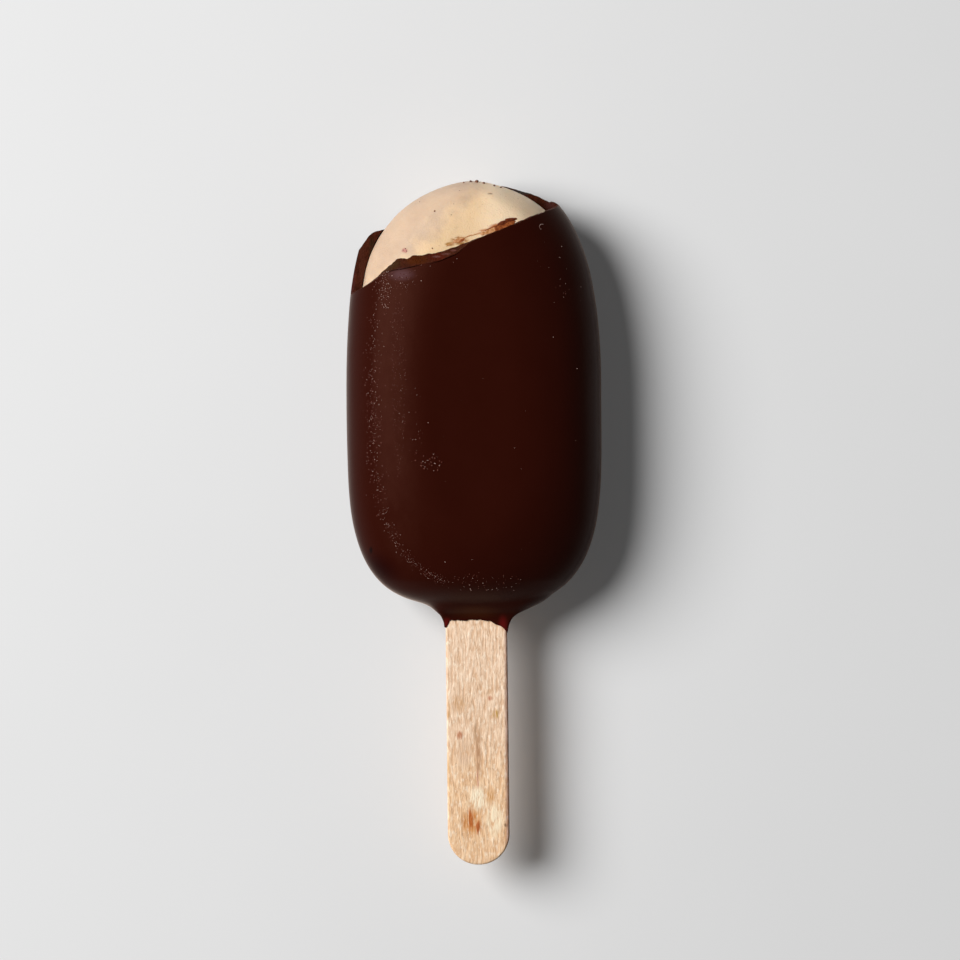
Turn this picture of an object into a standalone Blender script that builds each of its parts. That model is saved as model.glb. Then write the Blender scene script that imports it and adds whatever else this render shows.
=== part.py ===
"""Chocolate-coated ice cream bar on a flat wooden stick, lying on its back.

The bar is a dipped block of ice cream. Its coating has been broken away round the tip, so the
ice cream stands bare there, between the ragged edge of the front and the lower rim that is left
of the sides and back. X is the bar's width, +Y runs from the stick to the tip, and +Z is up,
through the bar's thickness. The origin is the middle of the bar's box, on the ground.
"""

import math
from collections import namedtuple

import bmesh
import bpy
import numpy as np
from mathutils import Vector

MM = 0.001

# Lengths are in millimetres. The bar's own outlines are measured from the centre of its widest
# line: half_width to each side, tip towards +Y and base towards the stick. The two powers are
# those of a superellipse, across the bar and along it, and shoulder is how much fuller the
# outline is on the left of the tip.
Outline = namedtuple("Outline", "half_width tip base tip_powers base_powers shoulder")

# Coating: its widest ring, the crease where the rounded side meets the face, and the flat ring
COAT_EDGE = Outline(25.5, 49.2, 37.8, (2.6, 3.0), (3.2, 3.4), 0.1)
COAT_CREASE = Outline(20.2, 45.0, 33.0, (2.3, 2.5), (2.5, 2.5), 0.1)
COAT_FLAT = Outline(8.2, 33.0, 21.0, (2.2, 2.3), (2.4, 2.4), 0.0)
COAT_HALF_THICKNESS = 12.0
COAT_CREASE_HEIGHT = 9.0

# Ice cream inside it, by the same three rings
CORE_EDGE = Outline(23.0, 47.3, 35.3, (1.61, 4.77), (3.1, 3.3), 0.0)
CORE_CREASE = Outline(18.6, 44.9, 30.8, (1.7, 3.4), (2.6, 2.6), 0.0)
CORE_FLAT = Outline(12.5, 38.5, 22.5, (1.9, 2.6), (2.4, 2.4), 0.0)
CORE_HALF_THICKNESS = 9.8
CORE_CREASE_HEIGHT = 8.4

GAP = 0.3  # left between neighbouring pieces

# Stick: a 93 mm standard flat stick, about half of it inside the bar
STICK_WIDTH = 12.3
STICK_THICKNESS = 2.0
STICK_LENGTH = 93.0
STICK_END = -89.4
STICK_EDGE_ROUND = 0.4
STICK_LEAN = math.radians(0.3)

# Neck of coating that runs down the stick: how much of its flare is left at each place along it
NECK_PROFILE = (
    (-34.6, 1.04),
    (-35.6, 0.95),
    (-36.5, 0.85),
    (-37.6, 0.67),
    (-38.3, 0.44),
    (-38.9, 0.21),
    (-39.6, 0.07),
    (-40.4, 0.0),
)
NECK_FLARE_RIGHT = 9.0
NECK_FLARE_LEFT = 4.4
NECK_FLARE_THICK = 3.4
NECK_COAT = 0.55
# Where the coating dripped further along the stick's two edges: how far, and how narrow the drip
DRIP_RIGHT = (4.0, 2.0)
DRIP_LEFT = (1.8, 8.0)

# Broken edge of the front of the coating, from its left side to its right, where it breaks
# through the coating's outer face, and where the broken face meets the ice cream
FRONT_EDGE = (
    (-27.0, 23.2),
    (-24.4, 24.6),
    (-22.1, 25.8),
    (-18.4, 28.0),
    (-16.7, 29.2),
    (-14.0, 29.6),
    (-9.8, 30.3),
    (-6.6, 31.0),
    (-3.4, 32.3),
    (-0.7, 34.5),
    (1.8, 35.6),
    (5.1, 36.8),
    (9.3, 38.6),
    (14.5, 40.8),
    (16.7, 41.7),
    (27.0, 46.0),
)
FRONT_FOOT = (
    (-27.0, 23.5),
    (-22.1, 26.1),
    (-19.0, 28.2),
    (-17.0, 30.2),
    (-15.0, 32.0),
    (-13.5, 31.9),
    (-11.5, 32.5),
    (-8.0, 32.6),
    (-5.7, 33.1),
    (-2.8, 34.1),
    (1.8, 35.8),
    (5.1, 37.0),
    (9.3, 38.9),
    (14.6, 41.2),
    (27.0, 46.6),
)
# Heights of the broken face along those two lines, of the lower rim that is left beyond them,
# and the line where the rim and the back end
EDGE_LEVEL = (
    (-24.4, 13.6),
    (-22.1, 17.9),
    (-18.4, 20.7),
    (-14.0, 22.4),
    (-9.8, 23.5),
    (-5.0, 24.0),
    (1.8, 23.9),
    (5.1, 23.5),
    (9.3, 22.1),
    (14.5, 18.6),
    (16.7, 15.6),
    (20.0, 13.0),
)
FOOT_LEVEL = (
    (-24.4, 13.0),
    (-22.1, 13.2),
    (-19.0, 18.2),
    (-15.0, 20.3),
    (-11.5, 21.3),
    (-8.0, 21.8),
    (5.1, 21.8),
    (9.3, 20.8),
    (12.0, 18.8),
    (14.6, 13.1),
)
RIM_LEVEL = (
    (-27.0, 12.0),
    (-17.0, 12.6),
    (-8.0, 8.0),
    (2.0, 4.5),
    (5.5, 5.6),
    (9.4, 6.0),
    (13.0, 7.3),
    (15.2, 8.2),
    (16.3, 9.5),
    (16.8, 12.0),
    (27.0, 12.4),
)
BACK_BREAK = (
    (-27.0, 31.5),
    (-22.8, 33.6),
    (-21.6, 35.4),
    (-20.8, 36.5),
    (-19.8, 37.2),
    (-18.2, 37.6),
    (-12.5, 38.4),
    (-9.5, 40.9),
    (-2.0, 43.3),
    (1.5, 43.0),
    (6.0, 46.8),
    (27.0, 55.0),
)
TOP_RUN = 0.4
FOOT_RUN = 0.2
BREAK_TOP = 26.0
# Size of what is cut away there, and the columns and rows of its grid
BREAK_REACH = 60.0
BREAK_BOTTOM = -5.0
BREAK_HALF_SPAN = 27.0
BREAK_COLUMNS = 72
BREAK_ROWS = 7

# Rings: points in each, turn of the rounded side up to the crease, and where rings lie on the
# side and on the face, as shares of that turn and of the way from the crease to the flat
RING_POINTS = 60
CREASE_TURN = math.radians(35)
SIDE_TURNS = (1.0, 0.72, 0.5, 0.3, 0.14)
FACE_SHARES = (1.0, 0.62, 0.3)
SHARP_ANGLE = math.radians(40)

COCOA = (0.028, 0.0045, 0.0024)
CREAM = (0.80, 0.60, 0.40)
BIRCH = (0.84, 0.58, 0.38)


def material(name, colour, roughness):
    made = bpy.data.materials.new(name)
    made.use_nodes = True
    surface = made.node_tree.nodes["Principled BSDF"]
    surface.inputs["Base Color"].default_value = (*colour, 1.0)
    surface.inputs["Roughness"].default_value = roughness
    surface.inputs["Metallic"].default_value = 0.0
    return made


def collection(name):
    made = bpy.data.collections.new(name)
    bpy.context.scene.collection.children.link(made)
    return made


def mix(first, second, share):
    """The outline that lies this share of the way from the first to the second."""

    def between(a, b):
        if isinstance(a, tuple):
            return tuple(between(x, y) for x, y in zip(a, b))
        return a + (b - a) * share

    return Outline(*(between(a, b) for a, b in zip(first, second)))


def grown(outline, by):
    return outline._replace(
        half_width=outline.half_width + by, tip=outline.tip + by, base=outline.base + by
    )


def power_point(turn, reach_x, reach_y, powers):
    """A point of the superellipse with these reaches and powers, at this turn from +X."""
    cosine, sine = math.cos(turn), math.sin(turn)
    x = math.copysign(abs(cosine) ** (2 / powers[0]), cosine) * reach_x
    y = math.copysign(abs(sine) ** (2 / powers[1]), sine) * reach_y
    return x, y


def ring(outline, height):
    """One closed ring of the bar at this height above its middle."""
    points = []
    for i in range(RING_POINTS):
        turn = 2 * math.pi * i / RING_POINTS
        if math.sin(turn) >= 0:
            reach = outline.tip * (1 + outline.shoulder * max(-math.cos(turn), 0.0))
            x, y = power_point(turn, outline.half_width, reach, outline.tip_powers)
        else:
            x, y = power_point(turn, outline.half_width, outline.base, outline.base_powers)
        points.append((x, y, height))
    return points


def pillow_rings(edge, crease, flat, crease_height, half_thickness):
    """Rings from the underside's flat face up to the top's: each face is a low dome up to its
    crease, and the side between the two creases is rounded."""
    top = []
    for share in SIDE_TURNS:
        turn = share * CREASE_TURN
        inwards = (1 - math.cos(turn)) / (1 - math.cos(CREASE_TURN))
        height = crease_height * math.sin(turn) / math.sin(CREASE_TURN)
        top.append((mix(edge, crease, inwards), height))
    top.reverse()
    for share in reversed(FACE_SHARES):
        rise = 1 - (1 - share) ** 2
        height = crease_height + (half_thickness - crease_height) * rise
        top.append((mix(crease, flat, share), height))
    rings = [ring(outline, -height) for outline, height in reversed(top)]
    rings.append(ring(edge, 0.0))
    rings.extend(ring(outline, height) for outline, height in top)
    return rings


def loft(name, rings, target):
    """A closed solid through these rings, with a flat cap on its first and last."""
    mesh = bmesh.new()
    loops = []
    for points in rings:
        corners = [mesh.verts.new(Vector(p) * MM) for p in points]
        loops.append([mesh.edges.new(pair) for pair in zip(corners, corners[1:] + corners[:1])])
    for lower, upper in zip(loops, loops[1:]):
        bmesh.ops.bridge_loops(mesh, edges=lower + upper)
    for cap in (loops[0], loops[-1]):
        bmesh.ops.edgeloop_fill(mesh, edges=cap)
    bmesh.ops.recalc_face_normals(mesh, faces=mesh.faces)
    made = mesh_object(name, mesh, target)
    made.data.shade_smooth()
    made.data.set_sharp_from_angle(angle=SHARP_ANGLE)
    return made


def mesh_object(name, mesh, target):
    """An object in this collection made from a bmesh, which is freed."""
    data = bpy.data.meshes.new(name)
    mesh.to_mesh(data)
    mesh.free()
    made = bpy.data.objects.new(name, data)
    target.objects.link(made)
    return made


def pillow(name, rings, target):
    return loft(name, pillow_rings(*rings), target)


def stick(name, grow, target):
    """The stick, or with grow the slot that it needs: a flat bar with half-round ends and
    rounded edges, from a 2D curve."""
    radius = STICK_WIDTH / 2 + grow
    arc = [math.pi * i / 12 for i in range(13)]
    low_centre = STICK_END + STICK_WIDTH / 2
    high_centre = STICK_END + STICK_LENGTH - STICK_WIDTH / 2
    outline = [(radius * math.cos(t), high_centre + radius * math.sin(t)) for t in arc]
    outline += [(-radius * math.cos(t), low_centre - radius * math.sin(t)) for t in arc]

    curve = bpy.data.curves.new(name, "CURVE")
    curve.dimensions = "2D"
    curve.fill_mode = "BOTH"
    edge_round = STICK_EDGE_ROUND * MM
    curve.extrude = (STICK_THICKNESS / 2 + grow) * MM - edge_round
    curve.bevel_depth = edge_round
    curve.bevel_resolution = 2
    curve.offset = -edge_round
    spline = curve.splines.new("POLY")
    spline.points.add(len(outline) - 1)
    for point, (x, y) in zip(spline.points, outline):
        point.co = (x * MM, y * MM, 0.0, 1.0)
    spline.use_cyclic_u = True

    drawn = bpy.data.objects.new(name + "_outline", curve)
    target.objects.link(drawn)
    drawn.rotation_euler.z = STICK_LEAN
    bpy.context.view_layer.update()
    graph = bpy.context.evaluated_depsgraph_get()
    data = bpy.data.meshes.new_from_object(drawn.evaluated_get(graph))
    data.name = name
    made = bpy.data.objects.new(name, data)
    made.matrix_world = drawn.matrix_world
    target.objects.link(made)
    bpy.data.objects.remove(drawn)

    mesh = bmesh.new()
    mesh.from_mesh(data)
    bmesh.ops.remove_doubles(mesh, verts=mesh.verts, dist=0.00001)
    bmesh.ops.recalc_face_normals(mesh, faces=mesh.faces)
    mesh.to_mesh(data)
    mesh.free()
    data.shade_smooth()
    data.set_sharp_from_angle(angle=SHARP_ANGLE)
    return made


def neck_ring(along_bar, flare, drip_share):
    """A ring of the neck round the stick. The lowest ring hangs down at the stick's two edges,
    where the coating dripped."""
    points = []
    for i in range(RING_POINTS):
        turn = 2 * math.pi * i / RING_POINTS
        wide, (drip, narrow) = NECK_FLARE_LEFT, DRIP_LEFT
        if math.cos(turn) > 0:
            wide, (drip, narrow) = NECK_FLARE_RIGHT, DRIP_RIGHT
        half_width = STICK_WIDTH / 2 + NECK_COAT + wide * flare
        half_height = STICK_THICKNESS / 2 + NECK_COAT + NECK_FLARE_THICK * flare
        x, z = power_point(turn, half_width, half_height, (3.0, 3.0))
        points.append((x, along_bar - drip * drip_share * abs(x / half_width) ** narrow, z))
    return points


def neck(target):
    """The coating's neck, closed by a ring inside the stick's slot."""
    last = len(NECK_PROFILE) - 1
    rings = []
    for i, (along_bar, flare) in enumerate(NECK_PROFILE):
        rings.append(neck_ring(along_bar, flare, (i / last) ** 6))
    inside = STICK_THICKNESS / 2 / (STICK_THICKNESS / 2 + NECK_COAT)
    rings.append([(x * inside, NECK_PROFILE[last][0], z * inside) for x, _, z in rings[last]])
    made = loft("neck", rings, target)
    made.rotation_euler.z = STICK_LEAN
    return made


def along(line, x):
    """The height of a broken line at x."""
    return float(np.interp(x, [p[0] for p in line], [p[1] for p in line]))


def break_cutter(target):
    """What broke away: all that is above the rim beyond the front's edge, and all beyond the
    back's. It is a grid whose rows follow those edges, raised into a solid."""
    bpy.ops.mesh.primitive_grid_add(
        x_subdivisions=BREAK_COLUMNS, y_subdivisions=BREAK_ROWS, size=2.0
    )
    made = bpy.context.object
    made.name = "broken_away"
    for holder in made.users_collection:
        holder.objects.unlink(made)
    target.objects.link(made)

    middle = COAT_HALF_THICKNESS
    for corner in made.data.vertices:
        x = corner.co.x * BREAK_HALF_SPAN
        row = round((corner.co.y + 1) * BREAK_ROWS / 2)
        edge, foot, back = along(FRONT_EDGE, x), along(FRONT_FOOT, x), along(BACK_BREAK, x)
        level = along(RIM_LEVEL, x)
        rows = (
            (edge - TOP_RUN, BREAK_TOP),
            (edge, along(EDGE_LEVEL, x)),
            (foot, along(FOOT_LEVEL, x)),
            (foot + FOOT_RUN, level),
            ((foot + FOOT_RUN + back) / 2, level),
            (back, level),
            (back, BREAK_BOTTOM),
            (BREAK_REACH, BREAK_BOTTOM),
        )
        y, z = rows[row]
        corner.co = Vector((x, y, z - middle)) * MM

    mesh = bmesh.new()
    mesh.from_mesh(made.data)
    raised = bmesh.ops.extrude_face_region(mesh, geom=mesh.faces[:])
    corners = [e for e in raised["geom"] if isinstance(e, bmesh.types.BMVert)]
    bmesh.ops.translate(mesh, verts=corners, vec=(0.0, 0.0, BREAK_REACH * MM))
    bmesh.ops.recalc_face_normals(mesh, faces=mesh.faces)
    mesh.to_mesh(made.data)
    mesh.free()
    return made


def boolean(target, operation, tool):
    step = target.modifiers.new(tool.name, "BOOLEAN")
    step.operation = operation
    step.object = tool
    step.solver = "EXACT"


def main():
    for old in list(bpy.data.objects):
        bpy.data.objects.remove(old)
    bar = collection("ice_cream_bar")
    cutters = collection("cutters")

    coat_rings = (COAT_EDGE, COAT_CREASE, COAT_FLAT, COAT_CREASE_HEIGHT, COAT_HALF_THICKNESS)
    core_rings = (CORE_EDGE, CORE_CREASE, CORE_FLAT, CORE_CREASE_HEIGHT, CORE_HALF_THICKNESS)
    hollow_rings = (
        *(grown(outline, GAP) for outline in core_rings[:3]),
        CORE_CREASE_HEIGHT + GAP,
        CORE_HALF_THICKNESS + GAP,
    )
    coating = pillow("chocolate_coating", coat_rings, bar)
    core = pillow("ice_cream", core_rings, bar)
    wood = stick("wooden_stick", 0.0, bar)

    collar = neck(cutters)
    hollow = pillow("hollow", hollow_rings, cutters)
    slot = stick("stick_slot", GAP, cutters)
    broken = break_cutter(cutters)

    boolean(coating, "UNION", collar)
    boolean(coating, "DIFFERENCE", hollow)
    boolean(coating, "DIFFERENCE", slot)
    boolean(coating, "DIFFERENCE", broken)
    boolean(core, "DIFFERENCE", slot)

    coating.data.materials.append(material("dark_chocolate", COCOA, 0.35))
    core.data.materials.append(material("ice_cream", CREAM, 0.55))
    wood.data.materials.append(material("birch_wood", BIRCH, 0.7))

    # The bar lies on its back, with the middle of its box over the origin
    base = bpy.data.objects.new("bar_middle", None)
    bar.objects.link(base)
    base.location = Vector((0.0, -(STICK_END + CORE_EDGE.tip) / 2, COAT_HALF_THICKNESS)) * MM
    for piece in (coating, core, wood, collar, hollow, slot, broken):
        piece.parent = base
    for tool in (collar, hollow, slot, broken):
        tool.hide_render = True
        tool.display_type = "WIRE"


main()
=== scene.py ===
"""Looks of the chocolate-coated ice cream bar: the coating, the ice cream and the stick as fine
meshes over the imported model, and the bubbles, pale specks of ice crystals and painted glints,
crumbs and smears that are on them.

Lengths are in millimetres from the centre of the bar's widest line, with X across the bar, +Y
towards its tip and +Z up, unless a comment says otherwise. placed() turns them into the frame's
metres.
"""

import math
from collections import namedtuple
from contextlib import contextmanager

import bmesh
import bpy
import numpy as np
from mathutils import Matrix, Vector, noise
from mathutils.bvhtree import BVHTree


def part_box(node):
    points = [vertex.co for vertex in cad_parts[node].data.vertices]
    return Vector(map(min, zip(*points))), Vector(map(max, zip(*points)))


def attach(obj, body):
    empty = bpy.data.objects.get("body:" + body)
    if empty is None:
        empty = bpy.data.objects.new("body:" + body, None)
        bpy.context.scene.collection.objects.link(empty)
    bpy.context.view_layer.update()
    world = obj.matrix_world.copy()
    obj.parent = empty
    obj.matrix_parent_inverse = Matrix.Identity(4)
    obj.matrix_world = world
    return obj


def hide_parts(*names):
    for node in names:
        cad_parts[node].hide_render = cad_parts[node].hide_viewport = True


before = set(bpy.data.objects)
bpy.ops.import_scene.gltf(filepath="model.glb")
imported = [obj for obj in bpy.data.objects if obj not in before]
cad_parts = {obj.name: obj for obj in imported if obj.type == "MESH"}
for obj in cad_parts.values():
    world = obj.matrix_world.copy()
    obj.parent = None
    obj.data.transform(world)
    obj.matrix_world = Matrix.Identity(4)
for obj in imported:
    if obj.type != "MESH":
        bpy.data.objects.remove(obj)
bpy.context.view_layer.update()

MM = 0.001

# The pieces' own sizes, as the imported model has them
Outline = namedtuple(
    "Outline", "half_width tip base tip_across tip_along base_across base_along shoulder"
)
Pillow = namedtuple("Pillow", "edge crease flat crease_height half_thickness")

COAT = Pillow(
    Outline(25.5, 49.2, 37.8, 2.6, 3.0, 3.2, 3.4, 0.1),
    Outline(20.2, 45.0, 33.0, 2.3, 2.5, 2.5, 2.5, 0.1),
    Outline(8.2, 33.0, 21.0, 2.2, 2.3, 2.4, 2.4, 0.0),
    9.0,
    12.0,
)
CORE = Pillow(
    Outline(23.0, 47.3, 35.3, 1.61, 4.77, 3.1, 3.3, 0.0),
    Outline(18.6, 44.9, 30.8, 1.7, 3.4, 2.6, 2.6, 0.0),
    Outline(12.5, 38.5, 22.5, 1.9, 2.6, 2.4, 2.4, 0.0),
    8.4,
    9.8,
)
CREASE_TURN = math.radians(35)

STICK_WIDTH = 12.3
STICK_THICKNESS = 2.0
STICK_LENGTH = 93.0
STICK_END = -89.4
STICK_ROUND = 0.4
STICK_LEAN = math.radians(0.3)
SLOT_GAP = 0.05
# Space between the ice cream and the coating's hollow, at the sides and above and below
HOLLOW_GAP_SIDE = 0.15
HOLLOW_GAP_UP = 0.12

# The neck's flare: the share of it that each level has, and its size on each side
NECK_PROFILE = (
    (-34.6, 1.04), (-35.6, 0.95), (-36.5, 0.85), (-37.6, 0.67), (-38.3, 0.44), (-38.9, 0.21),
    (-39.6, 0.07), (-40.4, 0.0),
)
NECK_FLARE_RIGHT = 9.0
NECK_FLARE_LEFT = 4.4
NECK_FLARE_THICK = 3.4
# Thickness of the chocolate on the stick, and at its lower lip
NECK_COAT = 0.55
NECK_LIP = 0.25
# Powers of the superellipses of the highest and of the lowest ring
NECK_POWERS = (3, 6)
# Box in which the joint of neck and body is smoothed, and how many times
JOINT_LOW = (-18, -39.0, -9)
JOINT_HIGH = (18, -32.5, 9)
JOINT_ROUNDS = 70
# How far the neck's lower edge hangs down, by the turn in degrees round the stick from its right
HANG = (
    (0, 1.1), (18, 1.6), (34, 2.9), (45, 2.1), (60, 1.4), (75, 0.9), (84, 0.6), (88, 0.35),
    (90, 0.0), (115, 0.0), (126, 0.25), (138, 1.2), (150, 1.5), (180, 1.1), (222, 0.7),
    (245, 0.0), (290, 0.0), (315, 1.3), (328, 2.2), (345, 1.2), (360, 1.1),
)

# The broken face's upper and lower edges, seen from above
FRONT_EDGE = (
    (-27.0, 23.2), (-24.4, 24.6), (-22.1, 25.8), (-18.4, 28.0), (-16.7, 29.2), (-14.0, 29.6),
    (-9.8, 30.3), (-6.6, 31.0), (-3.4, 32.3), (-0.7, 34.5), (1.8, 35.6), (5.1, 36.8),
    (9.3, 38.6), (14.5, 40.8), (16.7, 41.7), (27.0, 46.0),
)
FRONT_FOOT = (
    (-27.0, 23.5), (-22.1, 26.1), (-19.0, 28.2), (-17.0, 30.2), (-15.0, 32.0), (-13.5, 31.9),
    (-11.5, 32.5), (-8.0, 32.6), (-5.7, 33.1), (-2.8, 34.1), (1.8, 35.8), (5.1, 37.0),
    (9.3, 38.9), (14.6, 41.2), (27.0, 46.6),
)
# Heights of the broken face along those two lines and of the rim that is left beyond them, all
# above the bar's underside
EDGE_LEVEL = (
    (-24.4, 13.6), (-22.1, 17.9), (-18.4, 20.7), (-14.0, 22.4), (-9.8, 23.5), (-5.0, 24.0),
    (1.8, 23.9), (5.1, 23.5), (9.3, 22.1), (14.5, 18.6), (16.7, 15.6), (20.0, 13.0),
)
FOOT_LEVEL = (
    (-24.4, 13.0), (-22.1, 13.2), (-19.0, 18.2), (-15.0, 20.3), (-11.5, 21.3), (-8.0, 21.8),
    (5.1, 21.8), (9.3, 20.8), (12.0, 18.8), (14.6, 13.1),
)
RIM_LEVEL = (
    (-27.0, 12.0), (-17.0, 12.6), (-8.0, 8.0), (2.0, 4.5), (5.5, 5.6), (9.4, 6.0), (13.0, 7.3),
    (15.2, 8.2), (16.3, 9.5), (16.8, 12.0), (27.0, 12.4),
)
# Where the rim and the back end, seen from above
BACK_BREAK = (
    (-27.0, 31.5), (-22.8, 33.6), (-21.6, 35.4), (-20.8, 36.5), (-19.8, 37.2), (-18.2, 37.6),
    (-12.5, 38.4), (-9.5, 40.9), (-2.0, 43.3), (1.5, 43.0), (6.0, 46.8), (27.0, 55.0),
)
# How far the tool's walls slope above the edge, below the foot and at the back
TOP_RUN = 0.4
FOOT_RUN = 0.2
BACK_RUN = 0.6
# The tool's extent, with its top and bottom above the bar's underside
BREAK_TOP = 26.0
BREAK_HALF_SPAN = 27.0
BREAK_REACH = 60.0
BREAK_BOTTOM = -5.0
# Over how much the corners of the lines, of the heights and of the rim are rounded
LINE_ROUND = 0.35
LEVEL_ROUND = 0.8
RIM_ROUND = 1.0
# Over how much of its length the tool's raggedness fades out at each end
BREAK_FADE = 0.8

# Fine cracks just behind the front's broken edge
CRACKS = (
    ((-17.2, 28.7), (-16.0, 29.15), (-14.0, 29.4), (-11.5, 29.9), (-10.6, 30.1)),
    ((-8.6, 30.35), (-6.6, 30.85), (-5.0, 31.5), (-3.4, 32.15), (-2.2, 33.0)),
)
CRACK_WIDTH = 0.32
CRACK_DEPTH = 0.8
CRACK_RISE = 1.5

# Cells from the middle of a pillow's grid to its border, and across and along the stick's
PIECE_CELLS = 92
HOLLOW_CELLS = 44
SLOT_CELLS = (16, 24)
STICK_CELLS = (44, 170)

# Waves of the surfaces: size, depth and seed
COATING_WAVES = ((16.0, 0.10, 1), (6.0, 0.035, 2))
CREAM_WAVES = ((9.0, 0.10, 5), (2.5, 0.04, 6), (0.8, 0.015, 7))
# Corners closer than this are joined where grids meet
WELD = 0.002
# Depth over which creases are rounded: the coating's on its left, and how much wider on its right
TIGHT_CREASE = 0.045
WIDER_RIGHT = 0.22
HOLLOW_CREASE = 0.05
CREAM_CREASE = 0.16
# Edges sharper than these are shaded sharp
COATING_SHARP = math.radians(38)
CREAM_SHARP = math.radians(50)

# Where the bar's own centre is in the frame, in millimetres
coat_low, coat_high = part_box("chocolate_coating")
stick_low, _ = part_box("wooden_stick")
MIDDLE = np.array([0.0, stick_low.y / MM - STICK_END, (coat_low.z + coat_high.z) / 2 / MM])


def placed(points):
    """Points of the bar in the frame's metres."""
    return (np.asarray(points, float) + MIDDLE) * MM


# ---- materials


WHITE = (1.0, 1.0, 1.0, 1.0)


def new_material(name):
    """A material with a Principled surface, and its tree."""
    made = bpy.data.materials.new(name)
    made.use_nodes = True
    return made, made.node_tree


def node(tree, kind, inputs=None, **settings):
    """Adds a shader node. An input that is a socket is linked, and any other is set."""
    made = tree.nodes.new("ShaderNode" + kind)
    for name, value in settings.items():
        setattr(made, name, value)
    for name, value in (inputs or {}).items():
        if isinstance(value, bpy.types.NodeSocket):
            tree.links.new(value, made.inputs[name])
        else:
            made.inputs[name].default_value = value
    return made


def set_surface(tree, **values):
    """Sets or links the Principled surface's inputs, named with _ for a space."""
    surface = tree.nodes["Principled BSDF"]
    for name, value in values.items():
        socket = surface.inputs[name.replace("_", " ")]
        if isinstance(value, bpy.types.NodeSocket):
            tree.links.new(value, socket)
        else:
            socket.default_value = value


def place(tree, stretch=(1.0, 1.0, 1.0)):
    """The place on the bar, in millimetres from its own centre, times this stretch."""
    where = node(tree, "TexCoord").outputs["Object"]
    scale = tuple(s / MM for s in stretch)
    shift = tuple(-m * s for m, s in zip(MIDDLE, stretch))
    inputs = {"Vector": where, "Scale": scale, "Location": shift}
    return node(tree, "Mapping", inputs).outputs["Vector"]


def grain(tree, where, size, detail=3.0, roughness=0.55):
    """Noise of about this size in millimetres, from 0 to 1."""
    inputs = {"Vector": where, "Scale": 1 / size, "Detail": detail, "Roughness": roughness}
    return node(tree, "TexNoise", inputs).outputs["Fac"]


def ramp(tree, value, low, high, to_low=0.0, to_high=1.0):
    """The value taken smoothly from low..high to to_low..to_high."""
    inputs = {"Value": value, "From Min": low, "From Max": high, "To Min": to_low, "To Max": to_high}
    return node(tree, "MapRange", inputs, interpolation_type="SMOOTHSTEP").outputs["Result"]


def math_node(tree, operation, first, second):
    """The sum, product or other outcome of two values."""
    return node(tree, "Math", {0: first, 1: second}, operation=operation).outputs[0]


def times(tree, first, second):
    """The product of two values."""
    return math_node(tree, "MULTIPLY", first, second)


def blend(tree, share, first, second, how="MIX"):
    """The first colour blended into the second by this share."""
    inputs = {0: share}
    for key, colour in ((6, first), (7, second)):
        inputs[key] = colour if isinstance(colour, bpy.types.NodeSocket) else (*colour, 1.0)
    return node(tree, "Mix", inputs, data_type="RGBA", blend_type=how).outputs[2]


def spot(tree, where, centre, reach, inner=0.4):
    """0 outside an ellipsoid with this centre and these reaches, rising to 1 at the inner share."""
    offset = node(tree, "VectorMath", {0: where, 1: centre}, operation="SUBTRACT").outputs[0]
    share = tuple(1 / r for r in reach)
    scaled = node(tree, "VectorMath", {0: offset, 1: share}, operation="MULTIPLY").outputs[0]
    length = node(tree, "VectorMath", {0: scaled}, operation="LENGTH").outputs["Value"]
    return ramp(tree, length, 1.0, inner)


def marked(tree, where, tone, marks, inner=0.4, grainy=1.0):
    """A tone with marks on it, given as centre, reach and colour, and broken up by this grain."""
    for centre, reach, colour in marks:
        share = times(tree, spot(tree, where, centre, reach, inner), grainy)
        tone = blend(tree, share, tone, colour)
    return tone


def split(tree, where):
    """The X, Y and Z of a place."""
    return tuple(node(tree, "SeparateXYZ", {0: where}).outputs)


def bump(tree, layers):
    """A chain of bumps, from (height, strength) layers."""
    normal = None
    for height, strength in layers:
        inputs = {"Height": height, "Strength": strength, "Distance": MM}
        if normal is not None:
            inputs["Normal"] = normal
        normal = node(tree, "Bump", inputs).outputs["Normal"]
    return normal


GLAZE_DARK = (0.0230, 0.0032, 0.0014)
GLAZE_WARM = (0.0275, 0.0042, 0.0022)
# Colour of the painted highlight along the left of the face
GLAZE_PAINTED_HIGHLIGHT = (0.031, 0.0062, 0.0034)
# Marks in the glaze, some of them painted light and shade: centre, reach and colour
GLAZE_MARKS_AND_PAINTED_LIGHT = (
    # painted highlight, where the light catches the glaze behind the broken edge on the left
    ((-14.2, 28.3, 10.3), (3.6, 1.7, 3.0), (0.066, 0.030, 0.034)),
    # painted shade: a dark strip outside the crease on the lower left, then a broad darker patch
    # over the lower left side
    ((-20.7, -26.4, 5.0), (0.5, 1.1, 2.5), (0.003, 0.001, 0.001)),
    ((-17.5, -29.5, 4.0), (7.5, 5.0, 4.5), (0.012, 0.0005, 0.0005)),
    # the neck's deep red drips, and a browner band over the neck
    ((5.5, -41.4, 1.0), (1.3, 3.0, 3.0), (0.090, 0.006, 0.005)),
    ((-5.6, -40.9, 1.0), (1.0, 1.4, 3.0), (0.090, 0.006, 0.005)),
    ((0.0, -38.8, 2.5), (6.5, 2.0, 3.5), (0.046, 0.011, 0.0032)),
)


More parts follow.
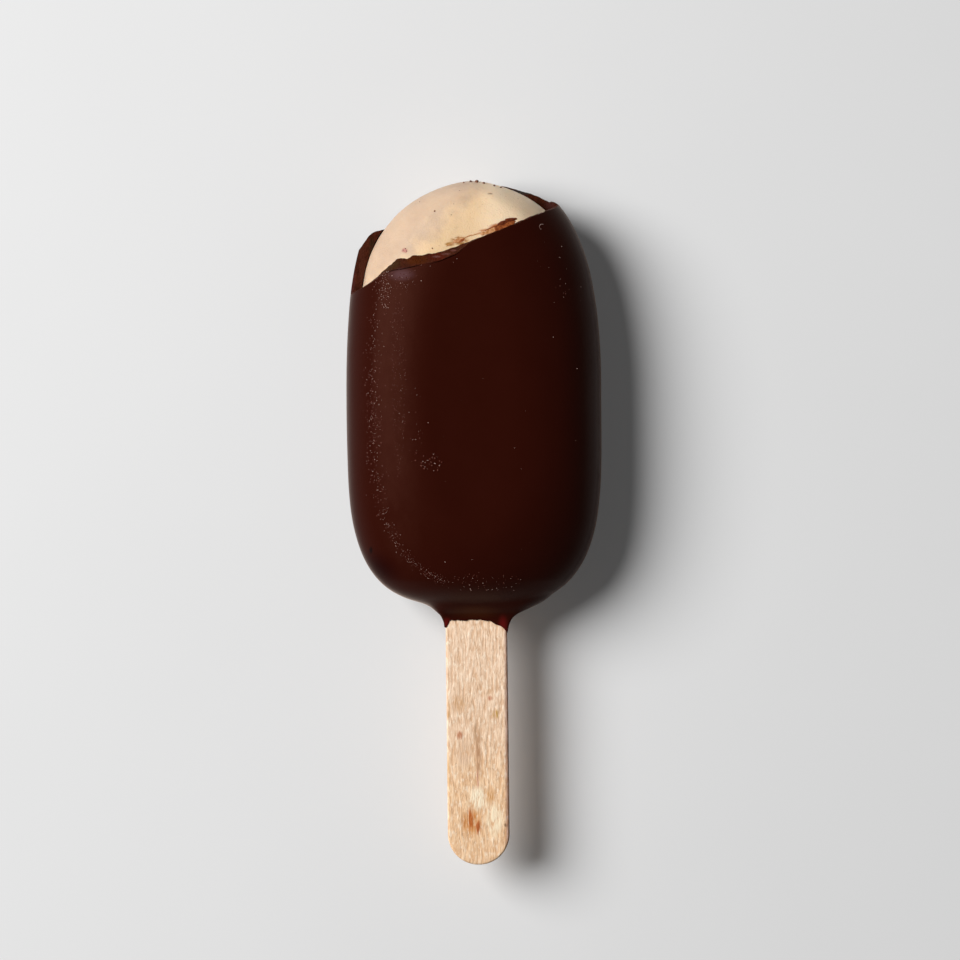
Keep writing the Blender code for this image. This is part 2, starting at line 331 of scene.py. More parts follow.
def glaze_material():
    """Dark dipped chocolate: a satin skin with fine pits, and a painted highlight in a lighter,
    mottled streak along the left of its face."""
    made, tree = new_material("dark_chocolate")
    where = place(tree)
    x, _, z = split(tree, where)
    # painted highlight: a lighter, mottled streak on the left of the upper face, where the light
    # from the left glances off it
    streak = times(tree, ramp(tree, x, -20.5, -17.0), ramp(tree, x, -9.0, -15.5))
    mottle = ramp(tree, grain(tree, place(tree, (1.0, 0.45, 1.0)), 1.6, 4.0), 0.3, 0.7, 0.3, 1.0)
    painted_highlight = times(tree, times(tree, streak, mottle), ramp(tree, z, 7.0, 9.0))
    tone = blend(tree, grain(tree, where, 7.0), GLAZE_DARK, GLAZE_WARM)
    tone = blend(tree, painted_highlight, tone, GLAZE_PAINTED_HIGHLIGHT)
    tone = marked(tree, where, tone, GLAZE_MARKS_AND_PAINTED_LIGHT, 0.1)
    fine = grain(tree, where, 0.22, 2.0)
    pits = ramp(tree, grain(tree, where, 0.55, 2.0), 0.60, 0.74)
    roughness = ramp(tree, grain(tree, where, 3.0), 0.2, 0.8, 0.30, 0.36)
    set_surface(
        tree,
        Base_Color=tone,
        Roughness=roughness,
        IOR=1.11,
        Specular_Tint=(1.0, 0.4, 0.27, 1.0),
        Sheen_Weight=0.5,
        Sheen_Roughness=0.3,
        Sheen_Tint=(1.0, 0.74, 0.58, 1.0),
        Normal=bump(tree, [(fine, 0.045), (pits, 0.04)]),
    )
    return made


# Tints of the broken chocolate, and painted light and shade on its left sliver: centre, reach and
# colour
BREAK_TINTS_AND_PAINTED_LIGHT = (
    ((-16.4, 30.4, 8.0), (3.0, 1.9, 4.0), (0.038, 0.0155, 0.0045)),
    ((-11.2, 31.2, 10.5), (3.1, 1.5, 4.0), (0.058, 0.0120, 0.0018)),
    ((-7.2, 31.9, 11.0), (2.6, 1.5, 4.0), (0.060, 0.0075, 0.003)),
    # pale, narrow streaks along the top of the broken face
    ((-7.3, 31.8, 11.0), (1.1, 0.3, 4.0), (0.11, 0.040, 0.034)),
    ((-5.4, 32.3, 11.0), (1.2, 0.3, 4.0), (0.11, 0.040, 0.034)),
    ((-3.9, 33.0, 11.0), (0.8, 0.3, 4.0), (0.10, 0.034, 0.028)),
    # painted light and shade across the left sliver's broken face: lighter at its outer edge,
    # darkest in the gap at the ice cream
    ((-24.4, 29.0, 0.3), (1.1, 6.0, 3.0), (0.080, 0.022, 0.018)),
    ((-22.3, 31.0, 0.3), (1.1, 6.0, 3.0), (0.056, 0.014, 0.007)),
    ((-20.2, 32.5, 0.3), (0.9, 5.0, 3.0), (0.026, 0.011, 0.004)),
    # greyer along the right sliver's outer half, and a redder mark near its right end
    ((10.5, 45.4, -6.0), (5.5, 0.8, 5.0), (0.050, 0.042, 0.038)),
    ((15.4, 42.6, -3.0), (1.5, 1.5, 4.0), (0.060, 0.018, 0.014)),
)


def broken_material():
    """The dull inside of the coating, where it broke: paler and browner than the glaze, in places
    tinted by what melted over it, with painted light and shade across the left sliver, and with
    other paler and greyer marks."""
    made, tree = new_material("broken_chocolate")
    where = place(tree)
    mottle = ramp(tree, grain(tree, where, 0.8, 4.0), 0.3, 0.7)
    tone = blend(tree, mottle, (0.031, 0.0070, 0.0030), (0.062, 0.0140, 0.0060))
    ragged = ramp(tree, grain(tree, where, 0.6), 0.25, 0.5)
    tone = marked(tree, where, tone, BREAK_TINTS_AND_PAINTED_LIGHT, grainy=ragged)
    tint = (1.0, 0.5, 0.4, 1.0)
    normal = bump(tree, [(grain(tree, where, 0.35, 3.0), 0.5)])
    set_surface(tree, Base_Color=tone, Roughness=0.5, IOR=1.12, Specular_Tint=tint, Normal=normal)
    return made


WARM_GLINT = (1.0, 0.62, 0.52, 1.0)
# Bubbles, pale specks of ice crystals and painted glints, crumbs and the three kinds of smears, in
# main's order: name, darker and paler colour, roughness, IOR, and glint
FINISHES = (
    ("glaze_drop", (0.036, 0.0055, 0.003), (0.085, 0.020, 0.013), 0.16, 1.5, WARM_GLINT),
    ("frost_and_glint", (0.30, 0.14, 0.11), (0.94, 0.70, 0.62), 0.35, 1.35, WARM_GLINT),
    ("crumb_chocolate", (0.055, 0.018, 0.009), (0.22, 0.085, 0.045), 0.5, 1.4),
    ("thin_smear", (0.36, 0.14, 0.035), (0.62, 0.31, 0.15), 0.4, 1.25),
    ("rust_smear", (0.15, 0.030, 0.007), (0.38, 0.11, 0.030), 0.4, 1.25),
    ("dark_smear", (0.075, 0.012, 0.004), (0.17, 0.035, 0.010), 0.35, 1.35),
)


def plain_material(name, low, high, roughness, ior, glint=WHITE):
    """A mottled material between two colours, with reflections of the colour of its glint."""
    made, tree = new_material(name)
    where = place(tree)
    mottle = grain(tree, where, 0.5, 4.0)
    tone = blend(tree, ramp(tree, mottle, 0.3, 0.7), low, high)
    normal = bump(tree, [(mottle, 0.1)])
    set_surface(
        tree, Base_Color=tone, Roughness=roughness, IOR=ior, Specular_Tint=glint, Normal=normal
    )
    return made


# Across the left part of the broken edge, seen from above
UPPER_LEFT = (-0.67, 0.74, 0.0)
CREAM_YELLOW = (0.77, 0.545, 0.315)
# Pinker and darker: partly the cream's own tint, partly painted shade
CREAM_PINK_AND_SHADE = (0.500, 0.350, 0.243)
# Paler: for random clouds, and as painted light over the right of the face
CREAM_PALE_AND_PAINTED_LIGHT = (0.94, 0.71, 0.48)
CREAM_PORE = (0.60, 0.38, 0.22)
# Stains on the ice cream: centre, reach and colour
CREAM_STAINS = (
    ((-2.7, 35.0, 9.8), (2.2, 1.1, 2.5), (0.36, 0.14, 0.022)),
    ((-4.6, 34.3, 9.8), (1.2, 0.5, 2.5), (0.44, 0.22, 0.06)),
    ((2.9, 36.6, 9.8), (2.4, 0.9, 2.5), (0.55, 0.22, 0.09)),
    ((5.3, 37.5, 9.7), (2.6, 1.1, 2.5), (0.42, 0.12, 0.032)),
    ((7.1, 38.4, 9.2), (1.8, 0.9, 2.5), (0.30, 0.06, 0.018)),
    ((-13.6, 33.1, 8.6), (0.8, 0.7, 2.0), (0.45, 0.19, 0.14)),
    ((3.4, 44.3, 7.6), (0.7, 0.25, 2.0), (0.42, 0.25, 0.14)),
)


def cream_material():
    """Creamy ice cream: a soft, faintly mottled surface with small pores and frosty grain, yellower
    along the broken edge, pinker and darker towards its upper left, partly its own tint and partly
    painted shade, and paler on its right, which is painted light."""
    made, tree = new_material("ice_cream")
    where = place(tree)
    side = node(tree, "VectorMath", {0: where, 1: UPPER_LEFT}, operation="DOT_PRODUCT")
    wander = ramp(tree, grain(tree, where, 4.0), 0.2, 0.8, -2.2, 2.2)
    side = math_node(tree, "ADD", side.outputs["Value"], wander)
    x, _, _ = split(tree, where)
    # pinker and darker towards the upper left: the cream's tint there, with painted shade
    tone = blend(tree, ramp(tree, side, 29.0, 35.5), CREAM_YELLOW, CREAM_PINK_AND_SHADE)
    # painted light: paler over the right of the face
    tone = blend(tree, ramp(tree, x, -1.0, 4.5), tone, CREAM_PALE_AND_PAINTED_LIGHT)
    cloud = ramp(tree, grain(tree, where, 5.0), 0.3, 0.7, 0.0, 0.16)
    tone = blend(tree, cloud, tone, CREAM_PALE_AND_PAINTED_LIGHT)
    pores = ramp(tree, grain(tree, where, 0.45, 3.0), 0.61, 0.74)
    tone = blend(tree, times(tree, pores, 0.7), tone, CREAM_PORE)
    turned = {"Vector": where, "Rotation": (0.0, 0.0, math.radians(-23)), "Scale": (0.3, 1.0, 1.0)}
    streaks = grain(tree, node(tree, "Mapping", turned).outputs["Vector"], 0.5, 4.0)
    tone = marked(tree, where, tone, CREAM_STAINS, 0.5, ramp(tree, streaks, 0.30, 0.52))
    set_surface(
        tree,
        Base_Color=tone,
        Roughness=0.5,
        IOR=1.35,
        Subsurface_Weight=0.35,
        Subsurface_Radius=(1.0, 0.7, 0.45),
        Subsurface_Scale=0.0012,
        Normal=bump(tree, [(grain(tree, where, 0.3, 3.0), 0.16), (pores, -0.15)]),
    )
    return made


WOOD_DARK = (0.74, 0.475, 0.295)
WOOD_PALE = (0.96, 0.73, 0.54)
WOOD_DARK_FLECK = (0.56, 0.33, 0.18)
WOOD_PALE_FLECK = (1.0, 0.84, 0.66)
# Marks on the stick: centre and reach across and along it, and colour
STAINS = (
    ((0.7, -76.2), (3.0, 3.4), (0.98, 0.84, 0.62)),
    ((3.6, -80.5), (2.2, 4.4), (0.98, 0.82, 0.58)),
    ((-2.4, -67.0), (2.2, 4.0), (0.74, 0.50, 0.33)),
    ((-0.9, -80.9), (2.6, 3.6), (0.68, 0.29, 0.07)),
    ((-1.1, -80.2), (1.1, 3.0), (0.46, 0.11, 0.012)),
    ((0.3, -81.9), (0.9, 2.0), (0.44, 0.11, 0.02)),
    ((-2.6, -80.8), (0.7, 2.2), (0.52, 0.20, 0.05)),
    ((0.1, -63.2), (0.9, 3.0), (0.48, 0.28, 0.15)),
    ((0.4, -67.5), (0.8, 6.5), (0.50, 0.27, 0.14)),
    ((0.3, -72.3), (0.35, 2.4), (0.62, 0.30, 0.20)),
    ((-3.3, -63.5), (0.9, 1.2), (0.48, 0.18, 0.08)),
    ((-3.4, -57.1), (2.0, 2.6), (0.64, 0.38, 0.20)),
    ((4.0, -59.3), (1.0, 1.3), (0.52, 0.29, 0.07)),
    ((2.8, -56.1), (0.6, 0.7), (0.55, 0.22, 0.12)),
    ((2.7, -75.7), (1.5, 2.3), (0.66, 0.34, 0.13)),
    ((5.8, -81.5), (0.35, 0.5), (0.15, 0.06, 0.02)),
    ((-5.5, -58.5), (0.6, 2.6), (0.60, 0.33, 0.14)),
    ((-5.7, -71.5), (0.7, 5.5), (0.70, 0.42, 0.19)),
)


def wood_material():
    """Birch: pale, with a fibrous speckle along the stick, a knot near its end, stains, and painted
    shade along its right edge.
    """
    made, tree = new_material("birch_wood")
    where = place(tree)
    fibre = grain(tree, place(tree, (1.0, 0.17, 1.0)), 0.50, 4.0, 0.6)
    pale_fleck = grain(tree, place(tree, (1.0, 0.34, 1.0)), 0.50, 3.0, 0.6)
    pale_fleck = times(tree, ramp(tree, pale_fleck, 0.50, 0.68), 0.65)
    dark_fleck = grain(tree, place(tree, (-1.0, 0.34, 1.0)), 0.55, 3.0, 0.6)
    dark_fleck = times(tree, ramp(tree, dark_fleck, 0.51, 0.68), 0.6)
    broad = ramp(tree, grain(tree, place(tree, (1.0, 0.45, 1.0)), 1.8, 3.0), 0.35, 0.65)
    tone = blend(tree, ramp(tree, fibre, 0.32, 0.66), WOOD_DARK, WOOD_PALE)
    tone = blend(tree, broad, tone, (0.94, 0.90, 0.85), "MULTIPLY")
    x, y, _ = split(tree, where)
    tone = blend(tree, ramp(tree, y, -60.0, -76.0), tone, (1.0, 0.93, 0.80), "MULTIPLY")
    tone = blend(tree, dark_fleck, tone, WOOD_DARK_FLECK)
    tone = blend(tree, pale_fleck, tone, WOOD_PALE_FLECK)
    stains = [((*centre, 1.0), (*reach, 2.5), colour) for centre, reach, colour in STAINS]
    tone = marked(tree, where, tone, stains, 0.3, ramp(tree, fibre, 0.35, 0.58))
    # painted shade: a darker strip along the stick's right edge, its side away from the light
    tone = blend(tree, ramp(tree, x, 5.5, 6.2), tone, (0.55, 0.47, 0.50), "MULTIPLY")
    normal = bump(tree, [(fibre, 0.3)])
    set_surface(tree, Base_Color=tone, Roughness=0.72, IOR=1.4, Normal=normal)
    return made


# ---- shapes


def xyz(*parts):
    """Points from their coordinates, or faces from their corners: each an array, or a number."""
    return np.stack(np.broadcast_arrays(*parts), axis=-1)


def mix(first, second, share):
    """Numbers that lie this share of the way from the first to the second, for each share."""
    first, second = np.array(first, float), np.array(second, float)
    return first + (second - first) * np.asarray(share, float)[..., None]


def bent(value, power):
    """A cosine or sine, as a superellipse of this power has it."""
    return np.sign(value) * np.abs(value) ** (2 / power)


def run_along(x, y):
    """How far along a line each of its points is."""
    return np.concatenate([[0], np.cumsum(np.hypot(np.diff(x), np.diff(y)))])


def outline_point(numbers, turn):
    """A point of an outline at this turn from +X: superellipses for the tip and for the base."""
    half_width, tip, base, tip_across, tip_along, base_across, base_along, shoulder = np.moveaxis(
        numbers, -1, 0
    )
    cosine, sine = np.cos(turn), np.sin(turn)
    at_tip = sine >= 0
    reach = np.where(at_tip, tip * (1 + shoulder * np.maximum(-cosine, 0)), base)
    across = np.where(at_tip, tip_across, base_across)
    along = np.where(at_tip, tip_along, base_along)
    return bent(cosine, across) * half_width, bent(sine, along) * reach


def even_turns(outline, turn):
    """Turns of the outline that are as evenly spaced along it as these are round a circle."""
    # finer steps near both ends of each quarter, where a superellipse runs fastest
    steps = np.linspace(0, 1, 3000) ** 1.5
    quarter = np.unique(np.concatenate([np.arcsin(steps), np.arccos(steps)]))
    full = np.unique(np.concatenate([quarter + k * math.pi / 2 for k in range(4)]))
    x, y = outline_point(np.array(outline, float), full)
    length = run_along(x, y)
    return np.interp(np.mod(turn, 2 * math.pi) / (2 * math.pi) * length[-1], length, full)


def pillow_point(pillow, depth, turn):
    """A point on the upper half of a pillow. depth is 0 at the widest ring, 1 at the crease, 2 at
    the flat ring and 3 at the middle."""
    side = np.clip(depth, 0, 1)
    face = np.clip(depth - 1, 0, 1)
    inwards = (1 - np.cos(side * CREASE_TURN)) / (1 - math.cos(CREASE_TURN))
    numbers = np.where(
        (depth < 1)[..., None],
        mix(pillow.edge, pillow.crease, inwards),
        mix(pillow.crease, pillow.flat, face),
    )
    x, y = outline_point(numbers, turn)
    shrink = 1 - np.clip(depth - 2, 0, 1)
    rise = (pillow.half_thickness - pillow.crease_height) * (1 - (1 - face) ** 2)
    height = pillow.crease_height * np.sin(side * CREASE_TURN) / math.sin(CREASE_TURN) + rise
    return xyz(x * shrink, y * shrink, height)


def disc_grid(cells):
    """Radius and turn of the corners of a square grid that is spread evenly over a disc."""
    line = np.linspace(-1, 1, 2 * cells + 1)
    across, along = np.meshgrid(line, line)
    wide = np.abs(across) > np.abs(along)
    with np.errstate(divide="ignore", invalid="ignore"):
        turn = np.where(
            wide, math.pi / 4 * along / across, math.pi / 2 - math.pi / 4 * across / along
        )
    turn = turn + np.where(np.where(wide, across, along) < 0, math.pi, 0)
    turn[cells, cells] = 0
    return np.maximum(np.abs(across), np.abs(along)), turn


def pillow_sheet(pillow, cells, softness):
    """The grid of corners of a pillow's upper half. softness is the depth over which the crease is
    rounded, or a function that gives it at a turn."""
    radius, turn = disc_grid(cells)
    turn = even_turns(pillow.edge, turn)
    depth = np.interp(radius, (0.0, 0.28, 0.64, 1.0), (3.0, 2.0, 1.0, 0.0))
    width = softness(turn) if callable(softness) else softness
    # no rounding at the widest ring or in the middle
    width = width * np.clip(depth / 0.35, 0, 1) * np.clip((3 - depth) / 0.8, 0, 1)
    points = np.zeros((*turn.shape, 3))
    spread = np.linspace(-1, 1, 9)
    for share in spread:
        points += pillow_point(pillow, depth + share * width, turn) / len(spread)
    return points


def border(grid):
    """The points round a grid's border, in order."""
    return np.concatenate([grid[0, :-1], grid[:-1, -1], grid[-1, :0:-1], grid[:0:-1, 0]])


def closed_skin(name, upper, lower, rims=()):
    """A closed object from two grids of corners that face up and down, and the rings of corners
    between their borders."""
    rows, columns = upper.shape[:2]
    count = rows * columns
    places = np.arange(count).reshape(rows, columns)
    rings = [border(places)]
    points = [upper.reshape(-1, 3), lower.reshape(-1, 3), *rims]
    for k in range(len(rims)):
        rings.append(2 * count + k * len(rings[0]) + np.arange(len(rings[0])))
    rings.append(border(places) + count)

    corners = (places[:-1, :-1], places[:-1, 1:], places[1:, 1:], places[1:, :-1])
    quads = xyz(*(c.ravel() for c in corners))
    faces = [quads, quads[:, ::-1] + count]
    for above, below in zip(rings, rings[1:]):
        faces.append(xyz(above, below, np.roll(below, -1), np.roll(above, -1)))
    return closed_object(name, points, np.concatenate(faces).tolist(), WELD)


def closed_object(name, points, faces, weld=0.0):
    """A smooth object of lists of corners and of faces, its corners closer than weld joined."""
    data = bpy.data.meshes.new(name)
    data.from_pydata(placed(np.concatenate(points)), [], faces)
    with edited(data) as mesh:
        if weld:
            bmesh.ops.remove_doubles(mesh, verts=mesh.verts, dist=weld * MM)
        bmesh.ops.recalc_face_normals(mesh, faces=mesh.faces)
    data.shade_smooth()
    return in_scene(name, data)


def in_scene(name, data):
    """An object of this mesh, light or camera, in the scene."""
    made = bpy.data.objects.new(name, data)
    bpy.context.scene.collection.objects.link(made)
    return made


@contextmanager
def edited(data):
    """A mesh to edit, which is written back at the end."""
    mesh = bmesh.new()
    mesh.from_mesh(data)
    yield mesh
    mesh.to_mesh(data)
    mesh.free()


def rough(points, size, seed):
    """Smooth noise from -1 to 1 at these points, with features of about this size."""
    shift = Vector((seed * 17.3, seed * 5.1, seed * 9.7))
    return np.array([noise.noise(Vector(p) / size + shift) for p in points])


def corners_of(data):
    """A mesh's corners, as points of the bar."""
    flat = np.zeros(len(data.vertices) * 3, np.float32)
    data.vertices.foreach_get("co", flat)
    return flat.reshape(-1, 3).astype(float) / MM - MIDDLE


def move_corners(data, points):
    """Puts a mesh's corners at these points of the bar."""
    data.vertices.foreach_set("co", placed(points).astype(np.float32).ravel())
    data.update()


def push_out(data, points, shift):
    """Moves a mesh's corners, which are at these points, along their normals."""
    normals = np.zeros(points.size, np.float32)
    data.vertices.foreach_get("normal", normals)
    move_corners(data, points + normals.reshape(-1, 3) * shift[:, None])


def ruffle(data, layers):
    """Moves a mesh's corners along their normals by noise, in layers of size, depth and seed."""
    points = corners_of(data)
    shift = np.zeros(len(points))
    for size, depth, seed in layers:
        shift += depth * rough(points, size, seed)
    push_out(data, points, shift)


def carve(target, operation, tool):
    """Applies one Boolean to the target, and removes its tool."""
    step = target.modifiers.new("carve", "BOOLEAN")
    step.operation = operation
    step.object = tool
    step.solver = "EXACT"
    bpy.context.view_layer.update()
    graph = bpy.context.evaluated_depsgraph_get()
    data = bpy.data.meshes.new_from_object(target.evaluated_get(graph))
    target.modifiers.clear()
    target.data = data
    bpy.data.objects.remove(tool)


def fillet(data, low, high, repeats):
    """Smooths a mesh inside this box, fading out to the box's edges, so that a joint is a curve."""
    low, high = np.array(low, float), np.array(high, float)
    middle, half = (low + high) / 2, (high - low) / 2
    chosen = {}
    with edited(data) as mesh:
        for corner in mesh.verts:
            inside = 1 - np.abs((np.array(corner.co) / MM - MIDDLE - middle) / half).max()
            if inside > 0:
                # full strength from a third of the way in
                chosen[corner] = min(inside * 3, 1.0)
        for _ in range(repeats):
            moves = {}
            for corner, share in chosen.items():
                near = [e.other_vert(corner).co for e in corner.link_edges]
                moves[corner] = (sum(near, Vector()) / len(near) - corner.co) * 0.5 * share
            for corner, move in moves.items():
                corner.co += move


def clean_up(data, sharp):
    """Takes out the corners that only two edges meet at, which Booleans leave along their cuts, and
    shades a mesh smooth but for edges sharper than this."""
    with edited(data) as mesh:
        spare = [corner for corner in mesh.verts if len(corner.link_edges) == 2]
        bmesh.ops.dissolve_verts(mesh, verts=spare)
    data.shade_smooth()
    data.set_sharp_from_angle(angle=sharp)


def along(line, x):
    """The height of a broken line at x."""
    return np.interp(x, [p[0] for p in line], [p[1] for p in line])


def smooth_along(line, x, reach):
    """The same line with its corners rounded over this reach."""
    return np.mean([along(line, x + reach * s) for s in np.linspace(-1, 1, 7)], axis=0)


def give_faces(piece, index, materials):
    """Gives all of a piece's faces this one of the materials."""
    piece.data.materials.clear()
    for made in materials:
        piece.data.materials.append(made)
    piece.data.polygons.foreach_set("material_index", [index] * len(piece.data.polygons))


# ---- the pieces


def lean(points):
    """Turns points by the stick's lean."""
    cosine, sine = math.cos(STICK_LEAN), math.sin(STICK_LEAN)
    x, y, z = np.moveaxis(points, -1, 0)
    return xyz(x * cosine - y * sine, x * sine + y * cosine, z)


def stick_skin(name, grow, cells):
    """The stick, or the slot for it: a flat bar with half-round ends and rounded edges."""
    radius = STICK_WIDTH / 2 + grow
    half_thick = STICK_THICKNESS / 2 + grow
    low_centre = STICK_END + STICK_WIDTH / 2
    high_centre = STICK_END + STICK_LENGTH - STICK_WIDTH / 2
    inner = radius - STICK_ROUND
    across = np.sin(np.linspace(-1, 1, cells[0] + 1) * math.pi / 2)
    x, share = np.meshgrid(across * inner, np.linspace(0, 1, cells[1] + 1))
    bow = np.sqrt(np.maximum(inner**2 - x**2, 0))
    y = (low_centre - bow) * (1 - share) + (high_centre + bow) * share
    upper = xyz(x, y, half_thick)
    lower = upper * (1, 1, -1)

    edge = border(upper)
    centre_y = np.clip(edge[:, 1], low_centre, high_centre)
    outward = xyz(edge[:, 0], edge[:, 1] - centre_y) / inner
    rims = []
    for turn in np.radians((67, 45, 22, 0, 0, -22, -45, -67)):
        reach = STICK_ROUND * math.cos(turn)
        centre_z = (half_thick - STICK_ROUND) * (1 if len(rims) < 4 else -1)
        x, y = edge[:, 0] + outward[:, 0] * reach, edge[:, 1] + outward[:, 1] * reach
        rims.append(lean(xyz(x, y, centre_z + STICK_ROUND * math.sin(turn))))
    return closed_skin(name, lean(upper), lean(lower), rims)


def ring_points(turn, power, half_width, half_height):
    """Points of a superellipse round the stick, at these turns from its right edge."""
    return bent(np.cos(turn), power) * half_width, bent(np.sin(turn), power) * half_height


def neck_skin(name, points_round=180, rows=34):
    """The coating's neck: rings round the stick, the lowest of which hangs down at its edges."""
    top, bottom = NECK_PROFILE[0][0], NECK_PROFILE[-1][0]
    top_power, low_power = NECK_POWERS
    # turns at even steps round the lowest ring
    fine = np.linspace(0, 2 * math.pi, 7201)
    x, z = ring_points(fine, low_power, STICK_WIDTH / 2, STICK_THICKNESS / 2)
    run = run_along(x, z)
    turn = np.interp(np.linspace(0, run[-1], points_round, endpoint=False), run, fine)
    wide = np.where(np.cos(turn) > 0, NECK_FLARE_RIGHT, NECK_FLARE_LEFT)
    hang = np.interp(np.degrees(turn), *zip(*HANG))
    profile = tuple(reversed(NECK_PROFILE))
    rings = []
    for share in np.linspace(0, 1, rows):
        level = top + (bottom - top) * share
        flare = smooth_along(profile, level, 0.5)
        coat = NECK_COAT - (NECK_COAT - NECK_LIP) * max(share - 0.6, 0) / 0.4
        power = top_power + (low_power - top_power) * share**2
        half_width = STICK_WIDTH / 2 + coat + wide * flare
        half_height = STICK_THICKNESS / 2 + coat + NECK_FLARE_THICK * flare
        x, z = ring_points(turn, power, half_width, half_height)
        rings.append(xyz(x, level - hang * share**6, z))
    last = rings[-1].copy()
    rings[-1][:, 1] += rough(last * (1, 0, 1), 0.9, 4) * 0.35
    # the last ring is inside the stick, so that the neck closes in its slot
    inside = last * (0.8, 1, 0.5)
    inside[:, 1] = bottom + 1.0
    rings.append(inside)
    rings = [lean(r) for r in rings]

    count = len(turn)
    faces = []
    for k in range(len(rings) - 1):
        here = k * count + np.arange(count)
        after = np.roll(here, -1)
        faces += xyz(here, here + count, after + count, after).tolist()
    faces.append(list(range(count)))
    faces.append(list(range((len(rings) - 1) * count, len(rings) * count)))
    return closed_object(name, rings, faces)


def break_skin(name):
    """What broke away: all above the rim beyond the front's edge, and all beyond the back's. Its
    walls are ragged, as brittle chocolate breaks."""
    x = np.linspace(-BREAK_HALF_SPAN, BREAK_HALF_SPAN, 241)
    middle = COAT.half_thickness
    edge, foot = smooth_along(FRONT_EDGE, x, LINE_ROUND), smooth_along(FRONT_FOOT, x, LINE_ROUND)
    back = smooth_along(BACK_BREAK, x, LINE_ROUND)
    level = smooth_along(RIM_LEVEL, x, RIM_ROUND)
    high, low = np.full_like(x, BREAK_TOP), np.full_like(x, BREAK_BOTTOM)
    # stations down the walls and over the rim, and how many cells lie before each
    stations = (
        (edge - TOP_RUN, high, 0),
        (edge, smooth_along(EDGE_LEVEL, x, LEVEL_ROUND), 4),
        (foot, smooth_along(FOOT_LEVEL, x, LEVEL_ROUND), 14),
        (foot + FOOT_RUN, level, 14),
        (back, level, 24),
        (back + BACK_RUN, low, 30),
        (np.full_like(x, BREAK_REACH), low, 3),
    )
    rows = [xyz(x, edge - TOP_RUN, high)]
    for (y0, z0, _), (y1, z1, cells) in zip(stations, stations[1:]):
        for k in range(1, cells + 1):
            share = k / cells
            rows.append(xyz(x, y0 + (y1 - y0) * share, z0 + (z1 - z0) * share))
    lower = np.array(rows)
    lower[..., 2] -= middle
    flat = lower.reshape(-1, 3)
    shift = []
    for seed in (11, 12):
        fine = 0.07 * rough(flat, 0.6, seed + 3) + 0.04 * rough(flat, 0.3, seed + 5)
        shift.append(0.14 * rough(flat, 1.4, seed) + fine)
    # the two ends stay straight, so that they close cleanly
    fade = np.clip((BREAK_HALF_SPAN - np.abs(x)) / BREAK_FADE, 0, 1)
    lower[..., 1] += shift[0].reshape(lower.shape[:2]) * fade
    lower[..., 2] += shift[1].reshape(lower.shape[:2]) * fade
    upper = lower + (0, 0, BREAK_REACH)
    return closed_skin(name, upper, lower)


def crack_skin(name, line):
    """A fine crack along the front's broken edge: a thin wedge that follows this line."""
    share = np.linspace(0, 1, 25)
    stops = np.linspace(0, 1, len(line))
    x = np.interp(share, stops, [p[0] for p in line])
    y = np.interp(share, stops, [p[1] for p in line])
    half = CRACK_WIDTH / 2 * np.sin(np.pi * np.clip(share, 0.03, 0.97)) ** 0.5
    surface = along(EDGE_LEVEL, x) - COAT.half_thickness
    above, below = surface + CRACK_RISE, surface - CRACK_DEPTH
    upper = np.stack([xyz(x, y + side * half, above) for side in (-1, 0, 1)])
    lower = np.stack([xyz(x, y + side * half * 0.3, below) for side in (-1, 0, 1)])
    return closed_skin(name, upper, lower)


def coat_softness(turn):
    """How widely the crease is rounded: tight on the left, wide on the right."""
    right = 0.5 + 0.5 * np.cos(turn - math.radians(-20))
    return TIGHT_CREASE + WIDER_RIGHT * np.clip(right * 1.5 - 0.45, 0, 1) ** 1.2


def make_coating(glaze, broken):
    """The coating: a pillow with its neck, hollowed, and broken away round the tip."""
    upper = pillow_sheet(COAT, PIECE_CELLS, coat_softness)
    coating = closed_skin("coating", upper, upper * (1, 1, -1))
    ruffle(coating.data, COATING_WAVES)
    grow_side = (CORE.edge.half_width + HOLLOW_GAP_SIDE) / CORE.edge.half_width
    grow_up = (CORE.half_thickness + HOLLOW_GAP_UP) / CORE.half_thickness
    inner = pillow_sheet(CORE, HOLLOW_CELLS, HOLLOW_CREASE)
    inner = inner * (grow_side, grow_side, grow_up)
    hollow = closed_skin("hollow", inner, inner * (1, 1, -1))
    collar = neck_skin("collar")
    slot = stick_skin("slot", SLOT_GAP, SLOT_CELLS)
    away = break_skin("away")
    cracks = [crack_skin("crack", line) for line in CRACKS]

    materials = (glaze, broken)
    for piece in (coating, collar):
        give_faces(piece, 0, materials)
    for piece in (hollow, slot, away, *cracks):
        give_faces(piece, 1, materials)
    # the neck joins after the cuts, so that they are made in the plain body
    for tool in (hollow, away, *cracks):
        carve(coating, "DIFFERENCE", tool)
    carve(coating, "UNION", collar)
    fillet(coating.data, JOINT_LOW, JOINT_HIGH, JOINT_ROUNDS)
    carve(coating, "DIFFERENCE", slot)
    clean_up(coating.data, COATING_SHARP)
    return coating


def make_core(cream):
    """The ice cream inside the coating, with the stick's slot."""
    upper = pillow_sheet(CORE, PIECE_CELLS, CREAM_CREASE)
    core = closed_skin("ice_cream_core", upper, upper * (1, 1, -1))
    ruffle(core.data, CREAM_WAVES)
    carve(core, "DIFFERENCE", stick_skin("core_slot", SLOT_GAP, SLOT_CELLS))
    give_faces(core, 0, [cream])
    clean_up(core.data, CREAM_SHARP)
    return core


def make_stick(wood):
    """The stick, its faces rough with fibres."""
    made = stick_skin("stick", 0.0, STICK_CELLS)
    points = corners_of(made.data)
    fibres = rough(points * (1, 0.08, 1), 0.5, 21) * 0.02
    waves = rough(points * (1, 0.2, 1), 2.5, 22) * 0.04
    push_out(made.data, points, fibres + waves)
    made.data.materials.append(wood)
    return made


# ---- bubbles, frost, crumbs, smears

